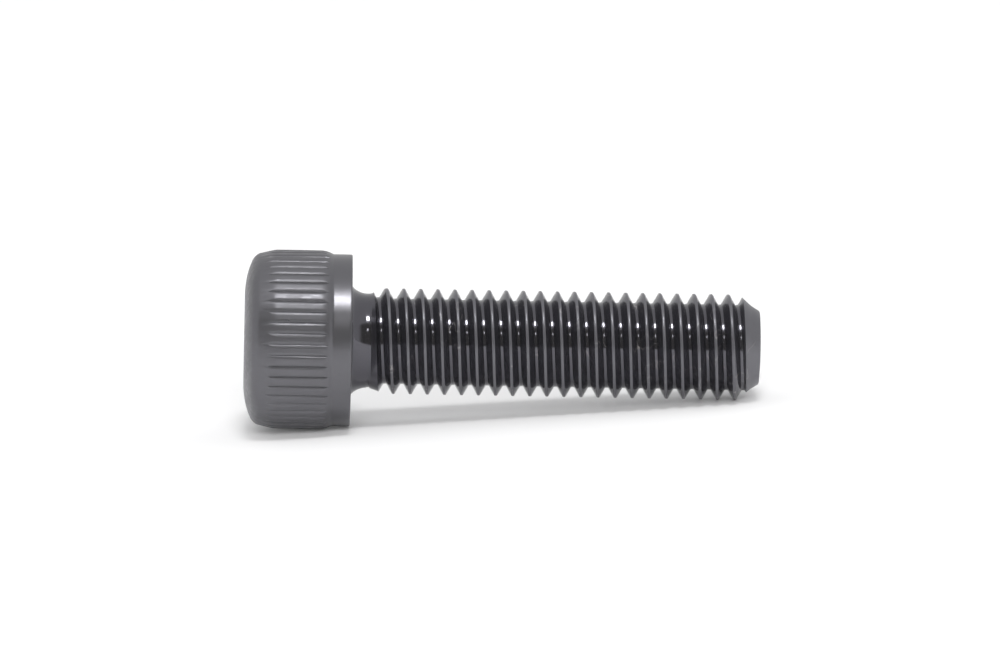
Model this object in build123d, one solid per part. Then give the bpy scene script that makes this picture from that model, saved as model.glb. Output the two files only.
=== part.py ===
"""Hexagon-socket head cap screw with a knurled head, one solid, in millimetres.

It stands on its head: z = 0 is the head's end face with the socket, and +Z runs along the shank to the tip.
The thread's groove is cut into the shank in Blender, so here the shank is the envelope of the crests.
"""

import os

from build123d import *

# Driving sizes of the shank
thread_dia = 7.76         # over the crests
pitch = 1.25              # from crest to crest
shank_length = 30.0       # under the head
neck_dia = 6.96           # blank left plain under the head
neck_foot_dia = 8.04      # where the neck's fillet meets the bearing face
tip_dia = 5.4             # end of the shank, inside its chamfers
tip_dome = 0.12           # height of the end's slight swell
tip_angle = 31.0          # inner chamfer, from the axis
chamfer_angle = 42.0      # outer chamfer, from the axis

# Driving sizes of the head
head_height = 7.84
knurl_dia = 13.18         # over the lands between the grooves
collar_dia = 12.62        # plain band beside the bearing face
crown_dia = 12.0          # where the domed rim ends
face_dia = 7.8            # outside of the flat ring round the socket
groove_count = 50
groove_depth = 0.14
groove_width = 0.27

# Driving sizes of the socket
socket_af = 6.0           # across the flats
socket_depth = 4.4        # to the foot of the flats
socket_point = 0.8        # height of the cone pressed below them
socket_mouth = 7.1        # diameter of the countersink

# Derived sizes of the head
knurl_r, collar_r, crown_r = knurl_dia / 2, collar_dia / 2, crown_dia / 2
crown_z = 0.064 * head_height
shoulder_z = 0.115 * head_height
knurl_start, knurl_end = 0.27 * head_height, 0.695 * head_height
collar_z = 0.827 * head_height
edge_break = 0.01 * head_height
shoulder_r = crown_r + 0.43 * (knurl_r - crown_r)

# Derived sizes of the shank
thread_r, neck_r, foot_r, tip_r = thread_dia / 2, neck_dia / 2, neck_foot_dia / 2, tip_dia / 2
tip_z = head_height + shank_length
fillet_end = head_height + 0.88 * pitch
neck_end = head_height + 1.1 * pitch
thread_start = head_height + 2.0 * pitch


def chamfer_length(drop, angle):
    """Axial length of a cone that narrows by drop at angle from the axis."""
    leg = Vector(1, 0, 0).rotate(Axis.Z, angle)
    return drop * leg.X / leg.Y


# A third of the way in, the two chamfers meet
break_r = tip_r + (thread_r - tip_r) / 3
rim_z = tip_z - tip_dome
break_z = rim_z - chamfer_length(break_r - tip_r, tip_angle)
chamfer_z = break_z - chamfer_length(thread_r - break_r, chamfer_angle)


def blank():
    """The forged and rolled blank, turned from half of its outline."""
    with BuildPart() as part:
        with BuildSketch(Plane.XZ):
            with BuildLine():
                Polyline((0, tip_z), (0, 0), (face_dia / 2, 0))
                ThreePointArc(
                    (face_dia / 2, 0),
                    (0.3 * face_dia / 2 + 0.7 * crown_r, 0.62 * crown_z),
                    (crown_r, crown_z),
                )
                ThreePointArc(
                    (crown_r, crown_z),
                    (0.3 * crown_r + 0.7 * shoulder_r, 0.62 * crown_z + 0.38 * shoulder_z),
                    (shoulder_r, shoulder_z),
                )
                Polyline((shoulder_r, shoulder_z), (knurl_r, knurl_start), (knurl_r, knurl_end))
                ThreePointArc(
                    (knurl_r, knurl_end),
                    (0.72 * knurl_r + 0.28 * collar_r, (knurl_end + collar_z) / 2),
                    (collar_r, collar_z),
                )
                Polyline(
                    (collar_r, collar_z),
                    (collar_r, head_height - edge_break),
                    (collar_r - edge_break, head_height),
                    (foot_r, head_height),
                )
                TangentArc((neck_r, fillet_end), (foot_r, head_height), tangent=(0, -1))
                Polyline(
                    (neck_r, fillet_end),
                    (neck_r, neck_end),
                    (thread_r, thread_start),
                    (thread_r, chamfer_z),
                    (break_r, break_z),
                    (tip_r, rim_z),
                )
                TangentArc((0, tip_z), (tip_r, rim_z), tangent=(1, 0))
            make_face()
        revolve(axis=Axis.Z)
    return part.part


def socket():
    """The key's recess: a countersunk hexagon with a shallow cone at its foot."""
    flats = extrude(RegularPolygon(socket_af / 2, 6, major_radius=False), socket_depth)
    mouth_depth = (socket_mouth - socket_af) / 2 * 0.58
    mouth = Pos(0, 0, mouth_depth / 2) * Cone(socket_mouth / 2, socket_af / 2, mouth_depth)
    point = Pos(0, 0, socket_depth + socket_point / 2) * Cone(socket_af / 2, 0.2, socket_point)
    return flats + mouth + point


def knurl():
    """Straight V grooves pressed into the head, which fade out where the head narrows."""
    floor_r = knurl_r - groove_depth
    over = groove_depth
    top_width = groove_width * (groove_depth + over) / groove_depth
    vee = Polygon(
        (floor_r, 0), (knurl_r + over, -top_width / 2), (knurl_r + over, top_width / 2), align=None
    )
    groove = extrude(Pos(0, 0, crown_z) * vee, collar_z - crown_z)
    return PolarLocations(0, groove_count) * groove


bolt = blank() - socket() - knurl()
bolt.label = "bolt"

os.makedirs("parts", exist_ok=True)
export_step(bolt, "parts/bolt.step")
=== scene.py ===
"""A knurled, black-oxide socket head cap screw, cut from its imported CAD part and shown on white."""

import math

import bpy
from mathutils import Matrix, Vector


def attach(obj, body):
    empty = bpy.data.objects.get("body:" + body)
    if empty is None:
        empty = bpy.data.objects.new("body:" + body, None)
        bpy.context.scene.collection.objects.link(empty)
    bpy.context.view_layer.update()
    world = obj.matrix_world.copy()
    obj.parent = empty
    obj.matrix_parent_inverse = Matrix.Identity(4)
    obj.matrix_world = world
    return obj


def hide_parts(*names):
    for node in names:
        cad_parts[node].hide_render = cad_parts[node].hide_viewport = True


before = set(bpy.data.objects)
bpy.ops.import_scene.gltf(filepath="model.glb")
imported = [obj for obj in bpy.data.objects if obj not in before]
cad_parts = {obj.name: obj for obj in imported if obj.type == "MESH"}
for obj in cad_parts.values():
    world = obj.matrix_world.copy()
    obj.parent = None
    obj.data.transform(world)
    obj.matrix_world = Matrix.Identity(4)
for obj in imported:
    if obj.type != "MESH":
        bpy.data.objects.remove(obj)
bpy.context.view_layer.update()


# The blank

# The screw is one piece of steel. Its head is forged with the key's socket, and its shank is plain
# until the thread is rolled. Both come from the CAD part, as a copy whose triangles are merged.

def only(obj):
    """Selects obj alone, in object mode, and makes it the active object."""
    if bpy.context.mode != "OBJECT":
        bpy.ops.object.mode_set(mode="OBJECT")
    bpy.ops.object.select_all(action="DESELECT")
    obj.select_set(True)
    bpy.context.view_layer.objects.active = obj


def pick(obj, wanted):
    """Leaves obj in edit mode with the vertices selected that pass the test."""
    only(obj)
    bpy.ops.object.mode_set(mode="EDIT")
    bpy.ops.mesh.select_mode(type="VERT")
    bpy.ops.mesh.select_all(action="DESELECT")
    bpy.ops.object.mode_set(mode="OBJECT")
    for v in obj.data.vertices:
        v.select = wanted(v)
    bpy.ops.object.mode_set(mode="EDIT")


SAME_CORNER = 1e-7              # metres between two triangles' copies of one corner

only(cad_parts["bolt"])
bpy.ops.object.duplicate()
screw = bpy.context.object
screw.name = "cap_screw"
for name in list(screw.keys()):
    del screw[name]
bpy.ops.mesh.customdata_custom_splitnormals_clear()
pick(screw, lambda v: True)
bpy.ops.mesh.remove_doubles(threshold=SAME_CORNER)
bpy.ops.object.mode_set(mode="OBJECT")


# The turned surface

# The blank's round surfaces, a hair inside the CAD part's and in finer steps: the domed rim, the
# head's slope, its knurled band and plain collar, the neck, and the chamfered tip.
# Each corner has its radius and its height in millimetres, the length that its rounding takes from
# each side, and the number of that rounding's steps.

MM = 0.001
MERGE = 2e-6
AROUND = 150
SHANK_CLEAR_R = 3.9
CORNERS = (
    (3.57, -0.5, 0, 0),
    (3.57, 0.002, 0, 0),
    (4.20, 0.06, 0.4, 3),
    (4.75, 0.17, 0.25, 3),
    (5.35, 0.34, 0.3, 4),
    (5.97, 0.62, 0.2, 4),
    (6.25, 0.96, 0.15, 4),
    (6.55, 2.20, 0.2, 3),
    (6.55, 5.95, 0.42, 6),
    (6.285, 6.44, 0.06, 2),
    (6.285, 6.56, 0, 0),
    (6.285, 7.68, 0, 0),
    (6.285, 7.83, 0.09, 3),
    (4.00, 7.83, 0, 0),
    (3.46, 8.25, 0.67, 8),
    (3.46, 9.20, 0.1, 2),
    (3.87, 10.34, 0, 0),
    (SHANK_CLEAR_R, 10.45, 0, 0),
    (SHANK_CLEAR_R, 36.14, 0, 0),
    (3.07, 37.055, 0.18, 4),
    (2.67, 37.70, 0.08, 3),
    (1.5, 37.785, 0.5, 4),
    (0, 37.82, 0, 0),
)


def loose_point(name, x, z):
    """A new mesh of one point in the XZ plane, to draw an outline from."""
    bpy.ops.object.select_all(action="DESELECT")
    bpy.ops.mesh.primitive_plane_add(size=MM)
    point = bpy.context.object
    point.name = name
    pick(point, lambda v: True)
    bpy.ops.mesh.merge(type="CENTER")
    bpy.ops.transform.translate(value=(x, 0, z))
    return point


def apply(obj, kind, **settings):
    """Adds a modifier to obj and applies it."""
    only(obj)
    modifier = obj.modifiers.new(kind.title(), kind)
    for name, value in settings.items():
        setattr(modifier, name, value)
    bpy.ops.object.modifier_apply(modifier=modifier.name)


at = (0, CORNERS[0][1])
turned = loose_point("turned_blank", at[0] * MM, at[1] * MM)
for radius, height, *_ in CORNERS:
    step = ((radius - at[0]) * MM, 0, (height - at[1]) * MM)
    bpy.ops.mesh.extrude_vertices_move(TRANSFORM_OT_translate={"value": step})
    at = (radius, height)
for radius, height, rounding, steps in CORNERS:
    if rounding:
        corner = Vector((radius, 0, height)) * MM
        pick(turned, lambda v: (v.co - corner).length < MERGE)
        bpy.ops.mesh.bevel(offset=rounding * MM, segments=steps, affect="VERTICES")
apply(
    turned,
    "SCREW",
    axis="Z",
    angle=2 * math.pi,
    steps=AROUND,
    render_steps=AROUND,
    use_merge_vertices=True,
    merge_threshold=MERGE,
    use_normal_calculate=True,
)
pick(turned, lambda v: True)
bpy.ops.mesh.remove_doubles(threshold=MERGE)
bpy.ops.mesh.normals_make_consistent(inside=False)
bpy.ops.object.mode_set(mode="OBJECT")
apply(screw, "BOOLEAN", operation="INTERSECT", solver="MANIFOLD", object=turned)
bpy.data.objects.remove(turned)


# The knurl

# Rolling presses the grooves into the head and leaves their lips rounded over.
# One groove with turned-out lips is modelled, copied round the axis and cut along each of the
# CAD part's plain ones.

GROOVES = 50
FLOOR_R = 6.425 * MM
LIP_R, LIP_HALF = 6.50 * MM, 0.085 * MM
MOUTH_R, MOUTH_HALF = 6.58 * MM, 0.235 * MM
TOOL_R = MOUTH_R + 0.3 * MM
KNURL_FROM, KNURL_TO = 0.9 * MM, 6.4 * MM

bpy.ops.object.select_all(action="DESELECT")
bpy.ops.mesh.primitive_plane_add(size=2 * LIP_HALF, location=(LIP_R - LIP_HALF, 0, KNURL_FROM))
knurl = bpy.context.object
knurl.name = "knurl_tool"
bpy.ops.object.transform_apply(location=True, rotation=True, scale=True)
pick(knurl, lambda v: v.co.x < LIP_R - LIP_HALF)
bpy.ops.mesh.merge(type="CENTER")
bpy.ops.transform.translate(value=(FLOOR_R - LIP_R + 2 * LIP_HALF, 0, 0))
inner_r, inner_half = LIP_R, LIP_HALF
for outer_r, outer_half in ((MOUTH_R, MOUTH_HALF), (TOOL_R, MOUTH_HALF)):
    pick(knurl, lambda v: v.co.x > inner_r - MERGE)
    step = (outer_r - inner_r, 0, 0)
    bpy.ops.mesh.extrude_edges_move(TRANSFORM_OT_translate={"value": step})
    spread = (1, outer_half / inner_half, 1)
    bpy.ops.transform.resize(value=spread, center_override=(outer_r, 0, KNURL_FROM))
    inner_r, inner_half = outer_r, outer_half
pick(knurl, lambda v: True)
step = (0, 0, KNURL_TO - KNURL_FROM)
bpy.ops.mesh.extrude_region_move(TRANSFORM_OT_translate={"value": step})
bpy.ops.mesh.select_all(action="SELECT")
bpy.ops.mesh.normals_make_consistent(inside=False)
bpy.ops.mesh.spin(
    steps=GROOVES, angle=2 * math.pi, dupli=True, center=(0, 0, 0), axis=(0, 0, 1)
)
bpy.ops.mesh.select_all(action="SELECT")
bpy.ops.mesh.remove_doubles(threshold=MERGE)
bpy.ops.object.mode_set(mode="OBJECT")
apply(screw, "BOOLEAN", operation="DIFFERENCE", solver="MANIFOLD", object=knurl)
bpy.data.objects.remove(knurl)


# The rolled thread

# Flat dies roll a 60 degree thread into the shank, with softened roots and crests, which rises out
# of the neck over its first turn. One pitch of its outline is wound up the axis as a threaded rod,
# wide enough below to hold the head, and the screw is what lies inside the rod.

PITCH = 1.25 * MM
FLANK = math.radians(30)
ROOT_R, CREST_R = 3.125 * MM, 3.865 * MM
CREST_FLAT = 0.17 * MM
ROOT_ROUND, ROOT_STEPS = 0.05 * MM, 5
CREST_ROUND, CREST_STEPS = 0.06 * MM, 3
ROOT_Z = 0.355 * MM                 # height of the root at azimuth 0, less whole pitches
START_TURN, TURNS = 6.75, 24
FADE_FROM, FADE_TO = 6.76, 7.72     # the turns over which the groove reaches its full depth
FADE_LIFT, FADE_MOST = 0.38 * MM, 1.2
STEPS_PER_TURN = 90
HOLD_R, HOLD_DEPTH = 8 * MM, 9.2 * MM
TOP_R = ROOT_R / 3                  # of the cone that closes the rod past the tip
SMOOTH_BELOW = math.radians(40)

start_z = ROOT_Z + START_TURN * PITCH
end_z = start_z + TURNS * PITCH
middle_z = (start_z + end_z) / 2
mid_r = (ROOT_R + CREST_R) / 2
crest_half = (PITCH - CREST_FLAT) / 2
root_half = crest_half - (CREST_R - ROOT_R) * math.tan(FLANK)

bpy.ops.object.select_all(action="DESELECT")
bpy.ops.mesh.primitive_plane_add(
    size=1, location=(0, -mid_r, start_z), rotation=(0, math.pi / 2, 0)
)
rod = bpy.context.object
rod.name = "threaded_rod"
bpy.ops.object.transform_apply(location=True, rotation=True, scale=True)
groove_middle = (0, -mid_r, start_z)
pick(rod, lambda v: True)
size = (1, CREST_R - ROOT_R, 2 * crest_half)
bpy.ops.transform.resize(value=size, center_override=groove_middle)
pick(rod, lambda v: v.co.y > -mid_r)
size = (1, 1, root_half / crest_half)
bpy.ops.transform.resize(value=size, center_override=groove_middle)
pick(rod, lambda v: v.co.y < -mid_r)
bpy.ops.mesh.delete(type="EDGE")
for end in (1, -1):
    pick(rod, lambda v: v.co.y < -mid_r and end * (v.co.z - start_z) > crest_half - MERGE)
    step = (0, 0, end * CREST_FLAT / 2)
    bpy.ops.mesh.extrude_vertices_move(TRANSFORM_OT_translate={"value": step})
pick(rod, lambda v: v.co.y > -mid_r)
bpy.ops.mesh.bevel(offset=ROOT_ROUND, segments=ROOT_STEPS, affect="VERTICES")
pick(rod, lambda v: v.co.y < -mid_r and abs(v.co.z - start_z) < crest_half + MERGE)
bpy.ops.mesh.bevel(offset=CREST_ROUND, segments=CREST_STEPS, affect="VERTICES")
apply(
    rod,
    "SCREW",
    axis="Z",
    angle=2 * math.pi,
    screw_offset=PITCH,
    iterations=TURNS,
    steps=STEPS_PER_TURN,
    render_steps=STEPS_PER_TURN,
    use_normal_calculate=True,
)
pick(rod, lambda v: True)
bpy.ops.mesh.remove_doubles(threshold=MERGE)
bpy.ops.object.mode_set(mode="OBJECT")
for v in rod.data.vertices:
    part_turn = math.atan2(v.co.y, v.co.x) / (2 * math.pi)
    turn = part_turn + round((v.co.z - ROOT_Z) / PITCH - part_turn)
    faded = min(max((FADE_TO - turn) / (FADE_TO - FADE_FROM), 0), FADE_MOST)
    v.co.xy *= 1 + FADE_LIFT * faded / v.co.xy.length


def open_loop(obj, low_end):
    """Leaves obj in edit mode with its lower or upper open loop selected."""
    pick(obj, lambda v: False)
    bpy.ops.mesh.select_non_manifold(use_non_contiguous=False)
    bpy.ops.object.mode_set(mode="OBJECT")
    open_ends = {v.index for v in obj.data.vertices if v.select}
    pick(obj, lambda v: v.index in open_ends and (v.co.z < middle_z) == low_end)


for low_end, radius, height in ((True, HOLD_R, start_z - PITCH / 2), (False, TOP_R, end_z)):
    open_loop(rod, low_end)
    bpy.ops.mesh.extrude_edges_move()
    bpy.ops.object.mode_set(mode="OBJECT")
    for v in rod.data.vertices:
        if v.select:
            v.co = (v.co.xy.normalized() * radius).to_3d()
            v.co.z = height
    bpy.ops.object.mode_set(mode="EDIT")
    if low_end:
        step = (0, 0, -HOLD_DEPTH)
        bpy.ops.mesh.extrude_edges_move(TRANSFORM_OT_translate={"value": step})
    bpy.ops.mesh.select_all(action="SELECT")
    bpy.ops.mesh.remove_doubles(threshold=MERGE)
    open_loop(rod, low_end)
    bpy.ops.mesh.edge_face_add()
bpy.ops.mesh.select_all(action="SELECT")
bpy.ops.mesh.normals_make_consistent(inside=False)
bpy.ops.object.mode_set(mode="OBJECT")
apply(screw, "BOOLEAN", operation="INTERSECT", solver="MANIFOLD", object=rod)
bpy.data.objects.remove(rod)
only(screw)
bpy.ops.object.shade_smooth_by_angle(angle=SMOOTH_BELOW)


# The finish

# Black oxide, a thin dark skin that is grown on the steel and sealed with oil. It is satin on the
# head, smoother on the collar, and glossy with oil and a little lint in the thread. The crests and
# the tip are rubbed paler and duller. Heights and radii are in millimetres.

class Reading:
    """One value in a node tree. Python's operators on it add Math nodes."""

    def __init__(self, tree, socket=None):
        self.tree, self.socket = tree, socket

    def node(self, kind, settings=None, sockets=None, out=0):
        """Adds a node, with its settings first and then its sockets' values or links."""
        node = self.tree.nodes.new(kind)
        for name, value in (settings or {}).items():
            setattr(node, name, value)
        for name, value in (sockets or {}).items():
            if isinstance(value, Reading):
                self.tree.links.new(value.socket, node.inputs[name])
            else:
                node.inputs[name].default_value = value
        return Reading(self.tree, node.outputs[out]) if node.outputs else node

    def outputs(self):
        """The values of all the outputs that this value's node has."""
        return [Reading(self.tree, socket) for socket in self.socket.node.outputs]

    def math(self, operation, *others):
        inputs = dict(enumerate((self, *others)))
        return self.node("ShaderNodeMath", {"operation": operation}, inputs)

    def __add__(self, other):
        return self.math("ADD", other)

    __radd__ = __add__

    def __mul__(self, other):
        return self.math("MULTIPLY", other)

    __rmul__ = __mul__

    def __sub__(self, other):
        return self.math("SUBTRACT", other)

    def __rsub__(self, other):
        return self.node("ShaderNodeMath", {"operation": "SUBTRACT"}, {0: other, 1: self})

    def rise(self, low, high):
        """Nothing up to low, then a smooth climb that reaches 1 at high."""
        return self.node(
            "ShaderNodeMapRange",
            {"interpolation_type": "SMOOTHSTEP"},
            {"Value": self, "From Min": low, "From Max": high},
        )

    def blend(self, start, end):
        """The colour between start and end that this value picks."""
        return self.node(
            "ShaderNodeMix",
            {"data_type": "RGBA"},
            {"Factor": self, 6: start, 7: end},
            out=2,
        )


def new_tree(name):
    """An empty material and the Reading that adds nodes to it."""
    material = bpy.data.materials.new(name)
    material.use_nodes = True
    material.node_tree.nodes.clear()
    return material, Reading(material.node_tree)


OXIDE = (0.144, 0.143, 0.155, 1)
OXIDE_THREAD = (0.110, 0.108, 0.122, 1)
OXIDE_WORN = (0.24, 0.24, 0.255, 1)
LINT = (0.62, 0.58, 0.56, 1)
COLLAR_START = (5.9, 6.3)
HEAD_END = (7.8, 8.1)
NECK_END = (8.95, 9.3)
TIP_START = (36.2, 36.6)
CREST_EDGE = (3.79, 3.86)

oxide, tree = new_tree("black_oxide")
place = tree.node("ShaderNodeTexCoord", out=3)
mm = tree.node("ShaderNodeVectorMath", {"operation": "SCALE"}, {0: place, "Scale": 1 / MM})
x, y, z = tree.node("ShaderNodeSeparateXYZ", sockets={0: mm}).outputs()
r = (x * x + y * y).math("SQRT")


def noise(scale, detail, rough=0.5, stretch=(1, 1, 1), shift=(0, 0, 0)):
    """A soft noise whose grains are 1 / scale millimetres, stretched along the axes."""
    at = tree.node(
        "ShaderNodeMapping", sockets={"Vector": mm, "Scale": stretch, "Location": shift}
    )
    return tree.node(
        "ShaderNodeTexNoise",
        sockets={"Vector": at, "Scale": scale, "Detail": detail, "Roughness": rough},
    )


def specks(scale, size, share):
    """Small round specks, in that share of cells that are 1 / scale millimetres wide."""
    cells = tree.node("ShaderNodeTexVoronoi", sockets={"Vector": mm, "Scale": scale})
    colour = cells.outputs()[1]
    chance = tree.node("ShaderNodeSeparateColor", sockets={0: colour})
    return (1 - cells.rise(size * 0.5, size)) * chance.rise(1 - share, 1 - share + 0.01)


on_smooth = z.rise(*COLLAR_START)
past_head = z.rise(*HEAD_END)
on_thread = z.rise(*NECK_END)
tip = z.rise(*TIP_START)
crest = on_thread * r.rise(*CREST_EDGE)
cloud = noise(scale=0.55, detail=4)
grain = noise(scale=7, detail=3, rough=0.6)
streak = noise(scale=1.6, detail=2, rough=0.55, stretch=(1.6, 1.6, 0.35))
scuff = noise(scale=1.9, detail=2, rough=0.6, stretch=(1.3, 1.3, 0.6), shift=(2, 5, 9))
hair = (noise(scale=0.9, detail=1, rough=0.4, shift=(3, 7, 1)) - 0.5).math("ABSOLUTE")
hairs = 1 - hair.rise(0.004, 0.012)
hair_field = noise(scale=0.35, detail=1, shift=(11, 2, 5)).rise(0.58, 0.62)
dust = specks(scale=1.1, size=0.07, share=0.3)

wear = crest * (0.05 + 0.35 * cloud) + tip * 0.45
lint = (dust * 0.5 + hairs * hair_field * 0.3).math("MINIMUM", 1.0) * on_thread
colour = past_head.blend(OXIDE, OXIDE_THREAD)
colour = wear.blend(colour, OXIDE_WORN)
colour = lint.blend(colour, LINT)

scuffs = (scuff - 0.45).math("MAXIMUM", 0.0)
rough = 0.43 - 0.12 * on_smooth - 0.19 * past_head + crest * 0.2 + tip * 0.25
rough = rough + (cloud - 0.5) * (0.16 - 0.1 * on_smooth) + (grain - 0.5) * 0.10 + lint * 0.3
rough = rough - scuffs * (0.45 - 0.4 * on_smooth)
height = (streak * 0.012 + scuffs * 0.006) * (1 - on_smooth * 0.9) + lint * 0.004
bump = tree.node("ShaderNodeBump", sockets={"Strength": 1.0, "Distance": MM, "Height": height})
shader = tree.node(
    "ShaderNodeBsdfPrincipled",
    sockets={
        "Base Color": colour,
        "Metallic": 0.78 + 0.04 * on_smooth + 0.07 * past_head - crest * 0.2 - lint * 0.4,
        "Roughness": rough,
        "Normal": bump,
    },
)
tree.node("ShaderNodeOutputMaterial", sockets={"Surface": shader})

screw.data.materials.clear()
screw.data.materials.append(oxide)
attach(screw, "root")
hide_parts("bolt")


# The camera

# The photograph shows the screw lying down, so the camera is rolled a quarter turn, and the
# screw's tip points to the right of the picture.

YAW = math.radians(1.2)
ROLL = math.radians(1.04)
PIXEL = 0.0732e-3                   # metres at the screw
LENS_PX = 13000
PICTURE_WIDTH = 1000
SENSOR_MM = 36
RISE_PX = 9.6
AIM = Vector((0, 0, 0.01873))

forward = Vector((0, math.cos(YAW), math.sin(YAW)))
level = Vector((0, -math.sin(YAW), math.cos(YAW)))
upright = level.cross(forward)
right = level * math.cos(ROLL) + upright * math.sin(ROLL)
up = upright * math.cos(ROLL) - level * math.sin(ROLL)
bpy.ops.object.select_all(action="DESELECT")
bpy.ops.object.camera_add()
camera = bpy.context.object
camera.name = "camera"
camera.data.sensor_width = SENSOR_MM
camera.data.lens = LENS_PX / PICTURE_WIDTH * SENSOR_MM
camera.data.clip_start = 0.01
camera.data.clip_end = 100
stand = AIM - forward * LENS_PX * PIXEL + up * RISE_PX * PIXEL
turned_to = Matrix((right, up, -forward)).transposed().to_4x4()
camera.matrix_world = Matrix.Translation(stand) @ turned_to
bpy.context.scene.camera = camera


# The table and the floor

# A white table that the screw leans on with its head's rim and its last crests, as in the
# photograph, and a pale floor under its head for the other views. Each is seen from its front only.

ELEVATION = math.radians(9)
RIM = Vector((0.00659, 0.0054))         # radius and height where the head rests
CREST = Vector((0.00387, 0.0362))       # and where the shank does
STAGE_SIZE = 1.6
PAPER = (0.85, 0.85, 0.855, 1)
PAPER_GLOW = 0.05                       # for the camera alone

side = Vector((math.cos(ELEVATION), math.sin(ELEVATION), 0))
axis = Vector((0, 0, 1))
touch = side * RIM.x + axis * RIM.y
along = (side * (CREST.x - RIM.x) + axis * (CREST.y - RIM.y)).normalized()
across = along.cross(side).normalized()
normal = along.cross(across).normalized()
if normal.dot(side) > 0:
    normal, across = -normal, -across
table_place = Matrix.Translation(touch) @ Matrix((along, across, normal)).transposed().to_4x4()


def stage_sheet(name, place, camera_only):
    """A large sheet of paper. Rays other than the camera's can be let through it."""
    bpy.ops.object.select_all(action="DESELECT")
    bpy.ops.mesh.primitive_plane_add(size=STAGE_SIZE)
    sheet = bpy.context.object
    sheet.name = name
    sheet.data.transform(place)
    material, tree = new_tree(name)
    paint = tree.node("ShaderNodeBsdfDiffuse", sockets={"Color": PAPER})
    ray = tree.node("ShaderNodeLightPath")
    glow = {"Color": (1, 1, 1, 1), "Strength": ray * PAPER_GLOW}
    lit = tree.node("ShaderNodeEmission", sockets=glow)
    paint = tree.node("ShaderNodeAddShader", sockets={0: paint, 1: lit})
    clear = tree.node("ShaderNodeBsdfTransparent")
    back = tree.node("ShaderNodeNewGeometry", out=6)
    hidden = 1 - (1 - back) * ray if camera_only else back
    paint = tree.node("ShaderNodeMixShader", sockets={0: hidden, 1: paint, 2: clear})
    tree.node("ShaderNodeOutputMaterial", sockets={"Surface": paint})
    sheet.data.materials.append(material)


stage_sheet("table", table_place, camera_only=False)
stage_sheet("floor", Matrix(), camera_only=True)


# The light

# A white room, dark in front of the screw, with a bright window high up and a dim one below it.
# A wide soft box near the camera lights the table and isn't mirrored in the metal.

ROOM_WHITE = (0.73, 0.73, 0.73, 1)
ROOM_DARK = (0.108, 0.104, 0.088, 1)
DARK_BOTTOM = (-14, -12)                # degrees above the camera where the dark part starts
DARK_TOP = (40, 48)                     # and where it ends
DARK_SIDE = (0.5, 0.85)                 # sine of the angle along the screw where it ends
LAMP_DISTANCE = 3

world = bpy.data.worlds.new("studio")
bpy.context.scene.world = world
world.use_nodes = True
world.node_tree.nodes.clear()
sky = Reading(world.node_tree)
toward = sky.node("ShaderNodeTexCoord", out=0)
x, y, z = sky.node("ShaderNodeSeparateXYZ", sockets={0: toward}).outputs()
tilt = (x * -1).math("ARCTAN2", y * -1) * math.degrees(1)
dark = tilt.rise(*DARK_BOTTOM) * (1 - tilt.rise(*DARK_TOP))
dark = dark * (1 - z.math("ABSOLUTE").rise(*DARK_SIDE))
room = dark.blend(ROOM_WHITE, ROOM_DARK)
camera_ray = sky.node("ShaderNodeLightPath")
room = camera_ray.blend(room, (1, 1, 1, 1))
lit = sky.node("ShaderNodeBackground", sockets={"Color": room, "Strength": 1.0})
sky.node("ShaderNodeOutputWorld", sockets={"Surface": lit})


def window(name, above, size, brightness, shines=True):
    """A square soft box that faces the screw, so many degrees above the camera."""
    bpy.ops.object.select_all(action="DESELECT")
    bpy.ops.object.light_add(type="AREA")
    lamp = bpy.context.object
    lamp.name = name
    lamp.data.size = size
    lamp.data.energy = math.pi * size * size * brightness
    lamp.visible_glossy = shines
    away = Vector((-math.sin(math.radians(above)), -math.cos(math.radians(above)), 0))
    facing = away.to_track_quat("Z", "Y").to_matrix().to_4x4()
    lamp.matrix_world = Matrix.Translation(AIM + LAMP_DISTANCE * away) @ facing


window("high_window", above=56, size=0.58, brightness=27.0)
window("low_window", above=27, size=0.24, brightness=9.0)
window("front_fill", above=12, size=1.5, brightness=11.8, shines=False)

bpy.context.scene.view_settings.view_transform = "Standard"
